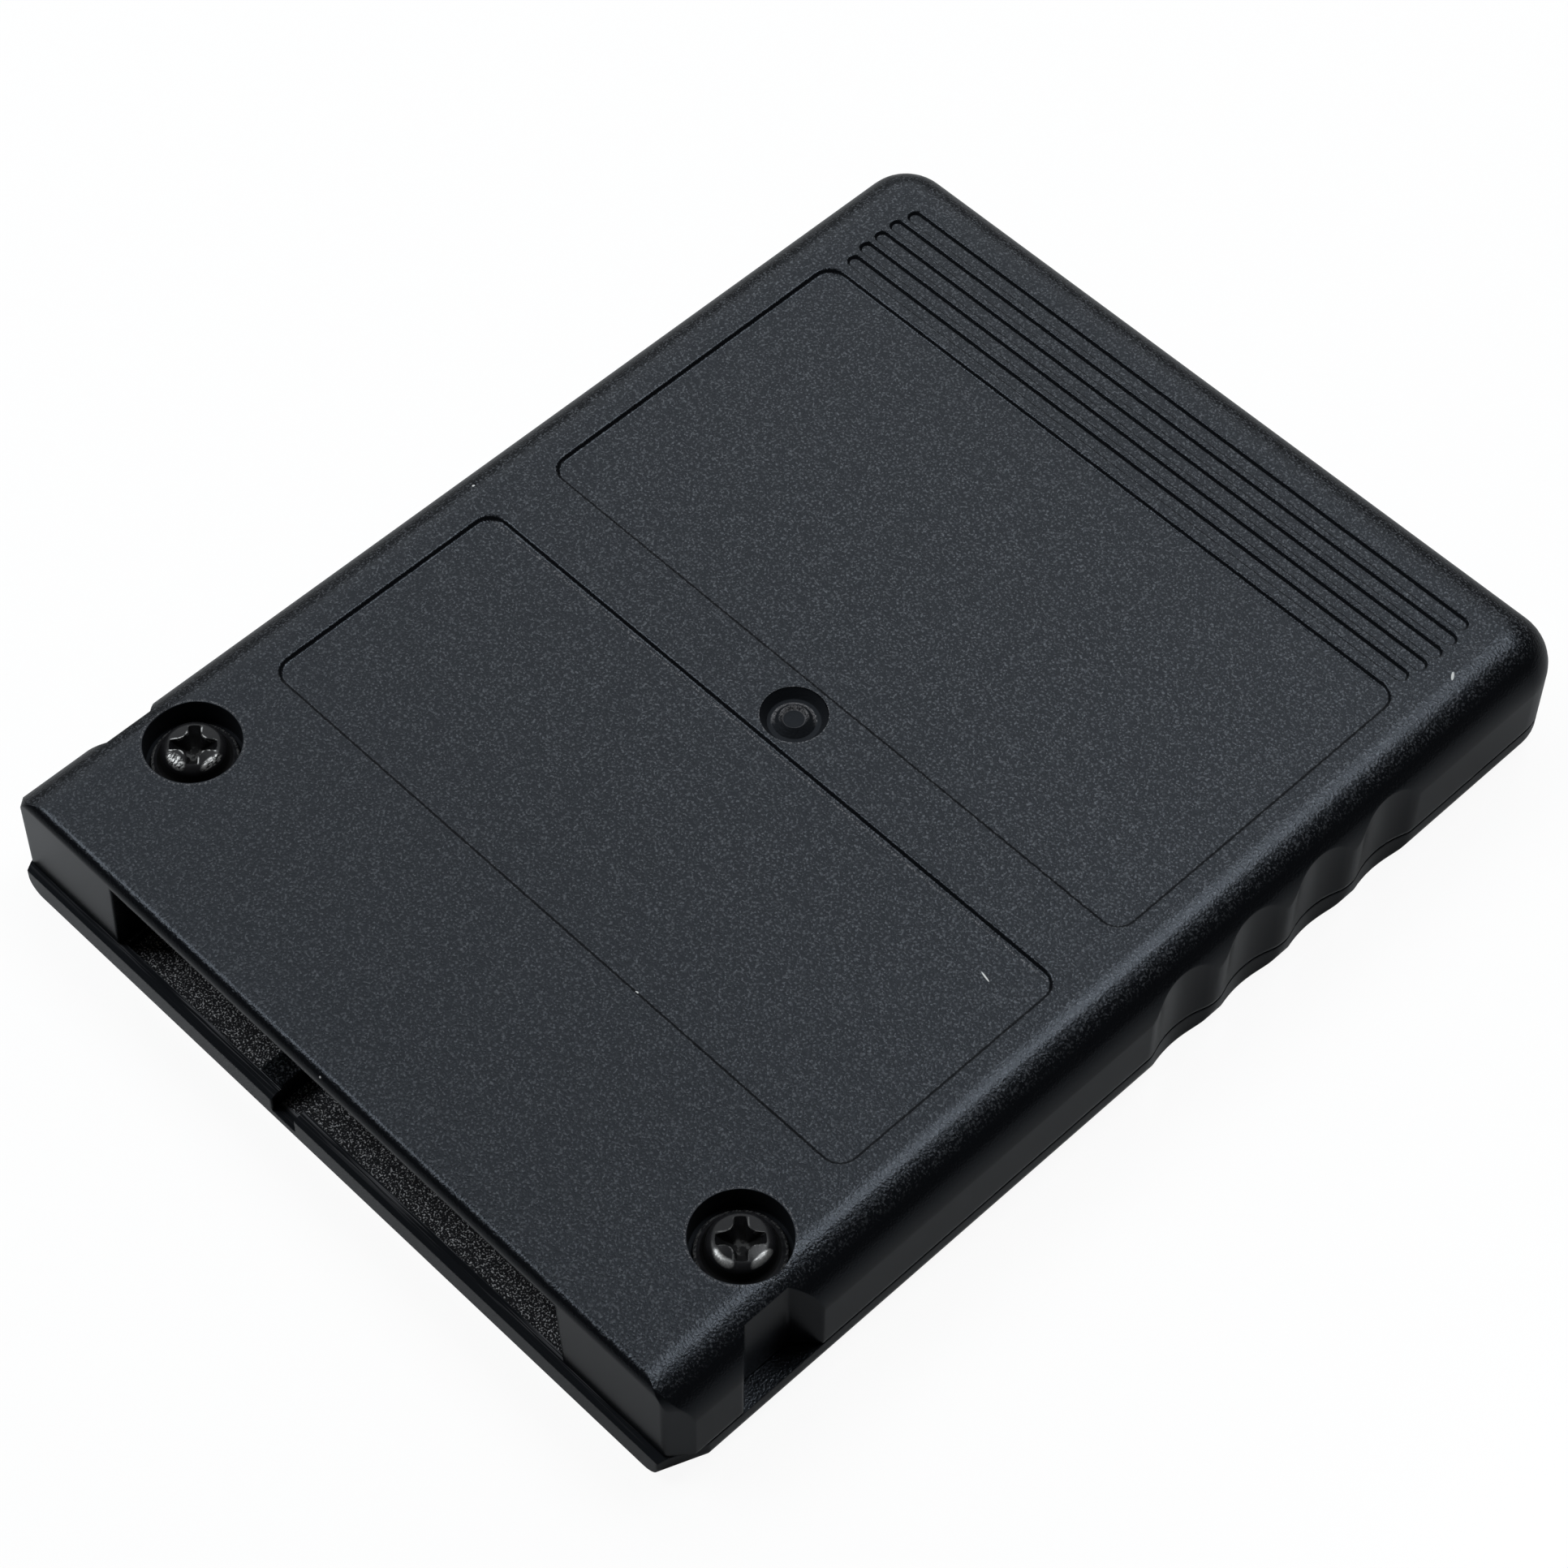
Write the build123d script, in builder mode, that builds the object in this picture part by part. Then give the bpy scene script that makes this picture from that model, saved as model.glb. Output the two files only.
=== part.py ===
"""Console memory card: two moulded covers, two screws and the circuit board between them.

The origin is at the middle of the label face, which lies down. +Y runs from the connector end to the
grip end, +Z from the label face to the screw face, and all sizes are in millimetres.
"""
import math
import os

from build123d import *

# Whole card
card_width = 42.0
card_length = 55.8
card_thickness = 6.6

# Covers: plates, walls and the seam between them
seam_height = 1.45
seam_gap = 0.1
back_plate = 1.1
front_plate = 0.9
side_wall = 1.5
grip_end_wall = 1.5
connector_wall = 1.6
channel_wall = 1.0
rim_thickness = 0.8
rim_height = 1.2
rim_clearance = 0.1

# Covers: rounded edges and corners
long_edge_round = 2.35
grip_corner_extra = 0.2
connector_edge_round = 0.5
label_edge_round = 0.8
back_corner_across = 0.8
back_corner_along = 1.0
back_corner_soft = 0.35
back_corner_round = 1.2
front_corner_across = 0.85
front_corner_along = 2.1

# Connector end: lip, windows and divider
lip_overhang = 0.34
lip_thickness = 0.6
lip_slope = 0.15
pillar_width = 7.0
left_window_width = 10.3
divider_width = 1.5
divider_setback = 2.3
rib_width = 1.3
rib_height = 0.8
rib_past_divider = 0.7
lip_gap_depth = 0.45
window_lead_in = 0.42
window_lead_in_length = 1.2
window_draft = 3.5
channel_depth = 10.4
cross_wall = 1.0

# Screw face: panels, gate dimple and finger grooves
panel_margin = 3.27
panel_depth = 0.18
panel_corner = 1.0
panel_edge_slope = 40.0
panel_edge_round = 0.16
near_panel_start = 12.63
near_panel_length = 13.05
panel_spacing = 3.58
groove_count = 5
groove_pitch = 1.02
groove_width = 0.64
groove_depth = 0.15
groove_edge_round = 0.1
groove_margin = 3.45
groove_end_step = 0.2
groove_band_from_grip = 5.48
groove_panel_spacing = 0.64
dimple_radius = 1.53
dimple_floor_radius = 1.2
dimple_depth = 0.5
gate_radius = 0.98
gate_height = 0.32
gate_crest_radius = 0.62
gate_crater_radius = 0.48
gate_crater_depth = 0.16

# Sides: finger flutes and latch notches
flute_count = 4
flute_pitch = 4.38
flute_depth = 0.38
flute_crest = 0.78
flute_crest_flat = 0.14
flute_middle_from_grip = 18.99
notch_from_connector = 6.28
notch_width = 4.55
notch_depth = 1.05

# Screws and the bosses that take them
screw_from_side = 3.88
screw_from_connector = 7.61
counterbore_depth = 1.5
boss_wall = 0.65
screw_seat = 1.4
shank_radius = 1.0
shank_clearance = 0.1
shank_tip_clearance = 0.4
head_radius = 1.95
head_clearance = 0.25
head_sink = 0.1
head_rim = 0.3
head_rim_slope = 0.15
head_crown_radius = 1.46
head_crown_draft = 0.06
head_crown_rise = 0.2
head_crown_round = 0.2
recess_span = 2.3
recess_width = 0.62
recess_soft = 0.2
recess_depth = 0.85
recess_taper = 12.0
recess_turn = 45.0
front_boss_wall = 0.75
front_boss_clearance = 0.2

# Circuit board and its supports
board_thickness = 0.8
board_clearance = 0.3
board_nose_setback = 1.3
board_corner = 1.0
post_radius = 1.0
post_from_side = 5.0
post_from_grip = 4.2

# Contact strips
left_contacts = 3
right_contacts = 5
contact_width = 1.9
contact_thickness = 0.2
contact_setback = 0.4
contact_end_clearance = 0.3

# Packages on the board's underside
package_standoff = 0.1
lead_thickness = 0.13
lead_width = 0.24
lead_pitch = 0.65
lead_foot = 0.45
lead_reach = 0.85
lead_root = 0.3
lead_edge = 0.9
flash_width = 12.0
flash_length = 16.4
flash_height = 1.0
flash_from_side = 7.0
flash_from_grip = 6.4
controller_size = 9.0
controller_height = 1.2
package_gap = 1.2
controller_from_grip = 14.0
package_edge = 0.12

# Small parts on the board's underside
chip_width = 0.85
chip_edge = 0.06
capacitor_length = 2.0
capacitor_height = 0.9
resistor_length = 1.6
resistor_height = 0.5
chip_pitch = 2.2
capacitors = 4
resistors = 4
chip_row_gap = 0.5
resonator_length = 4.5
resonator_width = 2.0
resonator_height = 1.1
resonator_from_grip = 6.6
resonator_from_side = 10.6
regulator_length = 2.9
regulator_width = 1.5
regulator_height = 1.0
regulator_from_grip = 29.4
regulator_from_side = 7.2

# Levels and planes that the sizes above give
half_width = card_width / 2
connector_end = -card_length / 2
grip_end = card_length / 2
back_front = connector_end + lip_overhang
seam_top = seam_height + seam_gap
plate_underside = card_thickness - back_plate
board_underside = plate_underside - board_thickness
cavity_half_width = half_width - side_wall
cavity_grip_end = grip_end - grip_end_wall
grip_corner_round = long_edge_round + grip_corner_extra

# Connector layout across the width
window_half_span = half_width - pillar_width
divider_left = -window_half_span + left_window_width
divider_right = divider_left + divider_width
right_window_width = window_half_span - divider_right
channel_end = back_front + channel_depth
cross_wall_front = channel_end - cross_wall

# Screw places and levels
screw_x = half_width - screw_from_side
screw_y = connector_end + screw_from_connector
screw_places = [(-screw_x, screw_y), (screw_x, screw_y)]
counterbore_radius = head_radius + head_clearance
boss_radius = counterbore_radius + boss_wall
front_boss_radius = shank_radius + front_boss_wall
seat_level = card_thickness - counterbore_depth
boss_joint = seat_level - screw_seat
boards_start = max(channel_end, screw_y + boss_radius) + board_clearance


def cover_plan(front, corner_across, corner_along):
    """Draws a cover's outline from above, with chamfered connector corners and round grip corners."""
    with BuildSketch() as plan:
        with BuildLine():
            Polyline(
                (corner_across - half_width, front),
                (half_width - corner_across, front),
                (half_width, front + corner_along),
                (half_width, grip_end),
                (-half_width, grip_end),
                (-half_width, front + corner_along),
                close=True,
            )
        make_face()
        fillet(plan.vertices().group_by(Axis.Y)[-1], grip_corner_round)
    return plan.sketch


def connector_plan():
    """Draws the back cover's connector end from above, with its two chamfers run on past the sides."""
    with BuildSketch() as plan:
        with BuildLine():
            Polyline(
                (back_corner_across - half_width, back_front),
                (half_width - back_corner_across, back_front),
                (half_width + back_corner_across, back_front + 2 * back_corner_along),
                (half_width + back_corner_across, 2 * grip_end),
                (-half_width - back_corner_across, 2 * grip_end),
                (-half_width - back_corner_across, back_front + 2 * back_corner_along),
                close=True,
            )
        make_face()
        fillet(plan.vertices().group_by(Axis.Y)[0], back_corner_soft)
    return plan.sketch


def edge_sliver(place, outward, radius):
    """Draws what a rounding takes off a straight top edge that runs past a place."""
    with BuildPart() as sliver:
        with BuildSketch(Plane(place, x_dir=outward, z_dir=Vector(*outward).cross(Vector(0, 0, 1)))):
            with BuildLine():
                Polyline((0, -radius), (radius, -radius), (radius, radius), (-radius, radius), (-radius, 0))
                CenterArc((-radius, -radius), radius, 0, 90)
            make_face()
        extrude(amount=card_width, both=True)
    return sliver.part


def fluted_plan():
    """Draws the card's width with the finger flutes cut into both sides and their crests rounded."""
    flute_half_width = (flute_pitch - flute_crest) / 2
    flute_radius = (flute_half_width**2 + flute_depth**2) / (2 * flute_depth)
    crest_turn = math.asin(flute_half_width / flute_radius)
    crest_round = (flute_crest - flute_crest_flat) / 2 / math.tan(crest_turn / 2)
    flute_middle = grip_end - flute_middle_from_grip
    flute_spacing = 2 * (half_width + flute_radius - flute_depth)
    with BuildSketch() as plan:
        Rectangle(card_width, 2 * card_length)
        with Locations((0, flute_middle)):
            with GridLocations(flute_spacing, flute_pitch, 2, flute_count):
                Circle(flute_radius, mode=Mode.SUBTRACT)
        fillet(plan.vertices().sort_by(Axis.Y)[2:-2], crest_round)
    return plan.sketch


def gull_lead():
    """Draws one bent lead that runs along +X from a package side at X = 0 down to the board's face."""
    shoulder = package_standoff + lead_thickness * 3
    with BuildPart() as lead:
        with BuildSketch(Plane.XZ.offset(-lead_width / 2)):
            with BuildLine():
                Polyline(
                    (-lead_root, -shoulder),
                    (lead_reach - lead_foot, -shoulder),
                    (lead_reach - lead_foot, -lead_thickness),
                    (lead_reach, -lead_thickness),
                    (lead_reach, 0),
                    (lead_reach - lead_foot - lead_thickness, 0),
                    (lead_reach - lead_foot - lead_thickness, lead_thickness - shoulder),
                    (-lead_root, lead_thickness - shoulder),
                    close=True,
                )
            make_face()
        extrude(amount=lead_width)
    return lead.part


def save(piece, name):
    """Labels a finished piece and writes it to its own file."""
    piece.label = name
    export_step(piece, f"parts/{name}.step")


os.makedirs("parts", exist_ok=True)

# Back cover: the screw side, a tray that opens downwards
with BuildPart() as back_cover:
    with BuildSketch(Plane.XY.offset(seam_top)):
        add(cover_plan(2 * connector_end, back_corner_across, back_corner_along))
    extrude(amount=card_thickness - seam_top)
    top_edges = back_cover.faces().sort_by(Axis.Z)[-1].edges()
    fillet(top_edges.sort_by(Axis.Y)[1:], long_edge_round)
    with BuildSketch(Plane.XY.offset(seam_top)):
        add(connector_plan())
    extrude(amount=card_thickness - seam_top, mode=Mode.INTERSECT)
    add(edge_sliver((0, back_front, card_thickness), (0, -1, 0), connector_edge_round), mode=Mode.SUBTRACT)
    for side in (-1, 1):
        corner_place = (side * half_width, back_front + back_corner_along, card_thickness)
        corner_outward = (side * back_corner_along, -back_corner_across, 0)
        add(edge_sliver(corner_place, corner_outward, back_corner_round), mode=Mode.SUBTRACT)
    with BuildSketch(Plane.XY.offset(seam_top)):
        add(fluted_plan())
    extrude(amount=card_thickness - seam_top, mode=Mode.INTERSECT)

    # Two shallow panels and the finger grooves at the grip end, all with soft sloping edges
    near_panel_middle = connector_end + near_panel_start + near_panel_length / 2
    far_panel_start = connector_end + near_panel_start + near_panel_length + panel_spacing
    groove_middle = grip_end - groove_band_from_grip
    groove_band = (groove_count - 1) * groove_pitch + groove_width
    far_panel_end = groove_middle - groove_band / 2 - groove_panel_spacing
    panel_run = panel_depth * math.tan(math.radians(panel_edge_slope))
    panel_width = card_width - 2 * panel_margin + panel_run
    far_panel_length = far_panel_end - far_panel_start + panel_run
    with BuildSketch(Plane.XY.offset(card_thickness)):
        with Locations((0, near_panel_middle)):
            RectangleRounded(panel_width, near_panel_length + panel_run, panel_corner)
        with Locations((0, (far_panel_start + far_panel_end) / 2)):
            RectangleRounded(panel_width, far_panel_length, panel_corner)
    extrude(amount=-panel_depth, taper=panel_edge_slope, mode=Mode.SUBTRACT)
    panel_rims = back_cover.faces().sort_by(Axis.Z)[-1].inner_wires()
    fillet([edge for rim in panel_rims for edge in rim.edges()], panel_edge_round)
    panel_floors = back_cover.faces().filter_by(Plane.XY).group_by(Axis.Z)[-2]
    fillet([edge for floor in panel_floors for edge in floor.edges()], panel_edge_round)
    groove_run = groove_depth * math.tan(math.radians(panel_edge_slope))
    groove_span = card_width - 2 * groove_margin + groove_run
    outer_groove = (groove_count - 1) * groove_pitch / 2
    with BuildSketch(Plane.XY.offset(card_thickness)):
        with Locations((0, groove_middle)):
            with GridLocations(0, groove_pitch, 1, groove_count - 2):
                SlotOverall(groove_span, groove_width + groove_run)
            with Locations((0, -outer_groove), (0, outer_groove)):
                SlotOverall(groove_span - 2 * groove_end_step, groove_width + groove_run)
    extrude(amount=-groove_depth, taper=panel_edge_slope, mode=Mode.SUBTRACT)
    groove_rims = back_cover.faces().sort_by(Axis.Z)[-1].inner_wires()
    groove_rims = groove_rims.filter_by(lambda rim: rim.center().Y > far_panel_end)
    fillet([edge for rim in groove_rims for edge in rim.edges()], groove_edge_round)

    # Hollow behind the connector wall, with the channel's two walls left standing
    with BuildSketch(Plane.XY.offset(seam_top)) as hollow:
        with BuildLine():
            Polyline(
                (-cavity_half_width, back_front + connector_wall),
                (cavity_half_width, back_front + connector_wall),
                (cavity_half_width, cavity_grip_end),
                (-cavity_half_width, cavity_grip_end),
                close=True,
            )
        make_face()
        with Locations((0, back_front)):
            Rectangle(
                2 * (window_half_span + channel_wall), 2 * channel_depth, mode=Mode.SUBTRACT
            )
    extrude(amount=plate_underside - seam_top, mode=Mode.SUBTRACT)
    window_spread = (plate_underside - seam_top) * math.tan(math.radians(window_draft))
    with BuildSketch(Plane.XY.offset(seam_top)):
        with Locations((0, back_front)):
            Rectangle(2 * (window_half_span + window_spread), 2 * (channel_depth + window_spread))
    extrude(amount=plate_underside - seam_top, taper=window_draft, mode=Mode.SUBTRACT)
    with BuildSketch(Plane.YZ.offset(-window_half_span)):
        with BuildLine():
            Polyline(
                (back_front, plate_underside),
                (back_front + window_lead_in_length, plate_underside),
                (back_front, plate_underside + window_lead_in),
                close=True,
            )
        make_face()
    extrude(amount=2 * window_half_span, mode=Mode.SUBTRACT)

    # Screw bosses, counterbored from the screw face
    with Locations(*[(x, y, boss_joint) for x, y in screw_places]):
        Cylinder(
            boss_radius,
            plate_underside - boss_joint,
            align=(Align.CENTER, Align.CENTER, Align.MIN),
        )
    with Locations(*[(x, y, seam_top) for x, y in screw_places]):
        Cylinder(
            front_boss_radius + front_boss_clearance,
            boss_joint - seam_top,
            align=(Align.CENTER, Align.CENTER, Align.MIN),
            mode=Mode.SUBTRACT,
        )
    with Locations(*[(x, y, card_thickness) for x, y in screw_places]):
        CounterBoreHole(shank_radius + shank_clearance, counterbore_radius, counterbore_depth)

    # Latch notches in both sides
    notch_middle = connector_end + notch_from_connector
    with BuildSketch(Plane.XY.offset(seam_top)):
        with BuildLine():
            Polyline(
                (half_width, notch_middle - notch_width / 2),
                (half_width - notch_depth, notch_middle - notch_width / 2 + notch_depth),
                (half_width - notch_depth, notch_middle + notch_width / 2 - notch_depth),
                (half_width, notch_middle + notch_width / 2),
                close=True,
            )
        make_face()
        mirror(about=Plane.YZ)
    extrude(amount=card_thickness - seam_top, mode=Mode.SUBTRACT)

    # Gate dimple between the panels, with the crater left by the gate
    dimple_middle = far_panel_start - panel_spacing / 2
    gate_top = card_thickness - dimple_depth + gate_height
    with BuildSketch(Plane.XZ.offset(-dimple_middle)):
        with BuildLine():
            Polyline(
                (0, card_thickness),
                (dimple_radius, card_thickness),
                (dimple_floor_radius, card_thickness - dimple_depth),
                (gate_radius, card_thickness - dimple_depth),
                (gate_crest_radius, gate_top),
                (gate_crater_radius, gate_top - gate_crater_depth),
                (0, gate_top - gate_crater_depth),
                close=True,
            )
        make_face()
    revolve(axis=Axis((0, dimple_middle, 0), (0, 0, 1)), mode=Mode.SUBTRACT)
save(back_cover.part, "back_cover")

# Front cover: the label side, a shallow tray with the lip, the bosses and the board's supports
with BuildPart() as front_cover:
    with BuildSketch():
        add(cover_plan(connector_end, front_corner_across, front_corner_along))
    extrude(amount=seam_height)
    label_edges = front_cover.faces().sort_by(Axis.Z)[0].edges()
    fillet(label_edges.sort_by(Axis.Y)[1:], label_edge_round)
    with BuildSketch():
        add(fluted_plan())
    extrude(amount=seam_height, mode=Mode.INTERSECT)

    # Tray floor, left full height under the back cover's two pillars
    with BuildSketch(Plane.XY.offset(front_plate)):
        with BuildLine():
            Polyline(
                (-cavity_half_width, back_front + connector_wall),
                (-window_half_span, back_front + connector_wall),
                (-window_half_span, connector_end + lip_thickness),
                (window_half_span, connector_end + lip_thickness),
                (window_half_span, back_front + connector_wall),
                (cavity_half_width, back_front + connector_wall),
                (cavity_half_width, cavity_grip_end),
                (-cavity_half_width, cavity_grip_end),
                close=True,
            )
        make_face()
    extrude(amount=seam_height - front_plate, mode=Mode.SUBTRACT)

    # Lip top falls away towards the front, and the lip is open in front of the divider
    with BuildSketch(Plane.YZ.offset(-half_width)):
        with BuildLine():
            Polyline(
                (connector_end, seam_height),
                (connector_end, seam_height - lip_slope),
                (back_front, seam_height),
                close=True,
            )
        make_face()
    extrude(amount=card_width, mode=Mode.SUBTRACT)
    with BuildSketch(Plane.XY.offset(lip_gap_depth)):
        with Locations(((divider_left + divider_right) / 2, connector_end)):
            Rectangle(divider_width, 2 * divider_setback)
    extrude(amount=seam_height - lip_gap_depth, mode=Mode.SUBTRACT)

    # Divider between the windows, the low rib beside it and the wall behind the contacts
    with BuildSketch(Plane.XY.offset(front_plate)):
        with Locations((divider_left, connector_end + divider_setback)):
            Rectangle(
                divider_width,
                cross_wall_front - connector_end - divider_setback,
                align=(Align.MIN, Align.MIN),
            )
        with Locations((-window_half_span + board_clearance, cross_wall_front)):
            Rectangle(
                2 * (window_half_span - board_clearance), cross_wall, align=(Align.MIN, Align.MIN)
            )
    extrude(amount=board_underside - front_plate)
    with BuildSketch(Plane.XY.offset(front_plate)):
        with Locations((divider_left, connector_end + lip_thickness)):
            Rectangle(
                rib_width,
                divider_setback + rib_past_divider - lip_thickness,
                align=(Align.MAX, Align.MIN),
            )
    extrude(amount=rib_height)

    # Rim that locates the back cover along the sides and the grip end
    rim_half_width = cavity_half_width - rim_clearance
    rim_grip_end = cavity_grip_end - rim_clearance
    with BuildSketch(Plane.XY.offset(front_plate)):
        with Locations((0, boards_start)):
            Rectangle(
                2 * rim_half_width, rim_grip_end - boards_start, align=(Align.CENTER, Align.MIN)
            )
            Rectangle(
                2 * (rim_half_width - rim_thickness),
                rim_grip_end - rim_thickness - boards_start,
                align=(Align.CENTER, Align.MIN),
                mode=Mode.SUBTRACT,
            )
    extrude(amount=seam_top + rim_height - front_plate)

    # Screw bosses with their pilot holes, and the posts under the board
    with Locations(*[(x, y, front_plate) for x, y in screw_places]):
        Cylinder(
            front_boss_radius,
            boss_joint - front_plate,
            align=(Align.CENTER, Align.CENTER, Align.MIN),
        )
    with Locations(*[(x, y, boss_joint) for x, y in screw_places]):
        Hole(shank_radius, depth=boss_joint - front_plate)
    post_x = half_width - post_from_side
    with Locations(*[(x, grip_end - post_from_grip, front_plate) for x in (-post_x, post_x)]):
        Cylinder(
            post_radius,
            board_underside - front_plate,
            align=(Align.CENTER, Align.CENTER, Align.MIN),
        )
save(front_cover.part, "front_cover")

# Screws: pan heads with a cross recess, seated in the counterbores
with BuildPart() as screw:
    shank_tip = front_plate + shank_tip_clearance
    head_top = card_thickness - head_sink
    crown_edge = (head_crown_radius, head_top - head_crown_rise)
    crown_arc = (head_crown_radius**2 + head_crown_rise**2) / (2 * head_crown_rise)
    crown_halfway = head_top - crown_arc + math.sqrt(crown_arc**2 - head_crown_radius**2 / 4)
    with BuildSketch(Plane.XZ) as screw_profile:
        with BuildLine():
            Polyline(
                (0, head_top),
                (0, shank_tip),
                (shank_radius / 2, shank_tip),
                (shank_radius, shank_tip + shank_radius / 2),
                (shank_radius, seat_level),
                (head_radius, seat_level),
                (head_radius, seat_level + head_rim),
                (head_crown_radius + head_crown_draft, seat_level + head_rim + head_rim_slope),
                crown_edge,
            )
            ThreePointArc(crown_edge, (head_crown_radius / 2, crown_halfway), (0, head_top))
        make_face()
        fillet(screw_profile.vertices().sort_by_distance(crown_edge)[0], head_crown_round)
    revolve(axis=Axis.Z)
    with BuildSketch(Plane.XY.offset(head_top)) as recess:
        with PolarLocations(0, 2, start_angle=recess_turn, angular_range=180):
            Rectangle(recess_span, recess_width)
        fillet(recess.vertices().sort_by_distance((0, 0))[:4], recess_soft)
    extrude(amount=-recess_depth, mode=Mode.SUBTRACT, taper=recess_taper)
with BuildPart() as case_screws:
    with Locations(*screw_places):
        add(screw.part)
save(case_screws.part, "case_screws")

# Circuit board: a nose that reaches into the windows, and the main field behind the bosses
board_half_width = cavity_half_width - board_clearance
board_grip_end = cavity_grip_end - board_clearance
nose_half_width = window_half_span - board_clearance
nose_front = back_front + board_nose_setback
with BuildPart() as circuit_board:
    with BuildSketch(Plane.XY.offset(board_underside)) as board_plan:
        with Locations((0, boards_start)):
            Rectangle(
                2 * board_half_width, board_grip_end - boards_start, align=(Align.CENTER, Align.MIN)
            )
        with Locations((0, nose_front)):
            Rectangle(
                2 * nose_half_width, boards_start - nose_front, align=(Align.CENTER, Align.MIN)
            )
        fillet(board_plan.vertices().group_by(Axis.Y)[-1], board_corner)
    extrude(amount=board_thickness)
save(circuit_board.part, "circuit_board")

# Contact strips under the board's nose, shared out evenly over the two windows
left_pitch = left_window_width / left_contacts
right_pitch = right_window_width / right_contacts
left_places = [-window_half_span + left_pitch * (i + 0.5) for i in range(left_contacts)]
right_places = [divider_right + right_pitch * (i + 0.5) for i in range(right_contacts)]
contact_front = nose_front + contact_setback
contact_length = cross_wall_front - contact_end_clearance - contact_front
for number, contact_x in enumerate(left_places + right_places, start=1):
    with BuildPart() as contact:
        with Locations((contact_x, contact_front, board_underside)):
            Box(
                contact_width,
                contact_length,
                contact_thickness,
                align=(Align.CENTER, Align.MIN, Align.MAX),
            )
        lower_edges = contact.faces().sort_by(Axis.Z)[0].edges()
        fillet(lower_edges.sort_by(Axis.Y)[0], contact_thickness / 2)
    save(contact.part, f"contact_{number}")

# Memory chip: a flat package with leads along its two ends
flash_middle_x = half_width - flash_from_side - flash_width / 2
flash_middle_y = grip_end - flash_from_grip - flash_length / 2
flash_leads = int((flash_width - 2 * lead_edge) / lead_pitch)
package_top = board_underside - package_standoff
with BuildPart() as flash_chip:
    with Locations((flash_middle_x, flash_middle_y, package_top)):
        Box(flash_width, flash_length, flash_height, align=(Align.CENTER, Align.CENTER, Align.MAX))
    chamfer(flash_chip.edges().filter_by(Axis.Z), package_edge)
    with Locations((flash_middle_x, flash_middle_y, board_underside)):
        with GridLocations(lead_pitch, 0, flash_leads, 1):
            with Locations((0, flash_length / 2)):
                add(gull_lead(), rotation=(0, 0, 90))
            with Locations((0, -flash_length / 2)):
                add(gull_lead(), rotation=(0, 0, -90))
save(flash_chip.part, "flash_chip")

# Controller: a square package with leads on four sides
controller_x = flash_middle_x - flash_width / 2 - package_gap - lead_reach - controller_size / 2
controller_y = grip_end - controller_from_grip - controller_size / 2
controller_leads = int((controller_size - 2 * lead_edge) / lead_pitch)
with BuildPart() as controller_chip:
    with Locations((controller_x, controller_y, package_top)):
        Box(
            controller_size,
            controller_size,
            controller_height,
            align=(Align.CENTER, Align.CENTER, Align.MAX),
        )
    chamfer(controller_chip.edges().filter_by(Axis.Z), package_edge)
    with Locations((controller_x, controller_y, board_underside)):
        with PolarLocations(controller_size / 2, 4):
            with GridLocations(0, lead_pitch, 1, controller_leads):
                add(gull_lead())
save(controller_chip.part, "controller_chip")

# Clock part and regulator
with BuildPart() as resonator:
    with Locations((resonator_from_side - half_width, grip_end - resonator_from_grip, board_underside)):
        Box(
            resonator_length,
            resonator_width,
            resonator_height,
            align=(Align.CENTER, Align.CENTER, Align.MAX),
        )
    fillet(resonator.edges().filter_by(Axis.Z), resonator_width / 5)
save(resonator.part, "resonator")
with BuildPart() as regulator:
    regulator_place = (half_width - regulator_from_side, grip_end - regulator_from_grip, package_top)
    with Locations(regulator_place):
        Box(
            regulator_length,
            regulator_width,
            regulator_height,
            align=(Align.CENTER, Align.CENTER, Align.MAX),
        )
    chamfer(regulator.edges().filter_by(Axis.Z), package_edge)
    with Locations((half_width - regulator_from_side, grip_end - regulator_from_grip, board_underside)):
        with Locations((0, regulator_width / 2)):
            add(gull_lead(), rotation=(0, 0, 90))
        with GridLocations(regulator_length * 2 / 3, 0, 2, 1):
            with Locations((0, -regulator_width / 2)):
                add(gull_lead(), rotation=(0, 0, -90))
save(regulator.part, "regulator")


def chip_part(place, length, height):
    """Draws a small two-ended part that hangs from the board's underside."""
    with BuildPart() as chip:
        with Locations(place):
            Box(chip_width, length, height, align=(Align.CENTER, Align.CENTER, Align.MAX))
        fillet(chip.edges().filter_by(Axis.Y), chip_edge)
    return chip.part


# Small resistors and capacitors in two rows beside the controller
resistor_y = controller_y - controller_size / 2 - lead_reach - chip_row_gap - resistor_length / 2
capacitor_y = resistor_y - resistor_length / 2 - chip_row_gap - capacitor_length / 2
resistor_start = controller_x - (resistors - 1) * chip_pitch / 2
capacitor_start = controller_x - (capacitors - 1) * chip_pitch / 2
for number in range(resistors):
    place = (resistor_start + number * chip_pitch, resistor_y, board_underside)
    save(chip_part(place, resistor_length, resistor_height), f"resistor_{number + 1}")
for number in range(capacitors):
    place = (capacitor_start + number * chip_pitch, capacitor_y, board_underside)
    save(chip_part(place, capacitor_length, capacitor_height), f"capacitor_{number + 1}")
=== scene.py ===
"""Dresses the console memory card: moulded covers, black screws and the board inside them."""
import logging
import math
from dataclasses import dataclass, field
from enum import Enum
from typing import Any, Sequence

import bmesh
import bpy
from mathutils import Matrix, Vector


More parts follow.
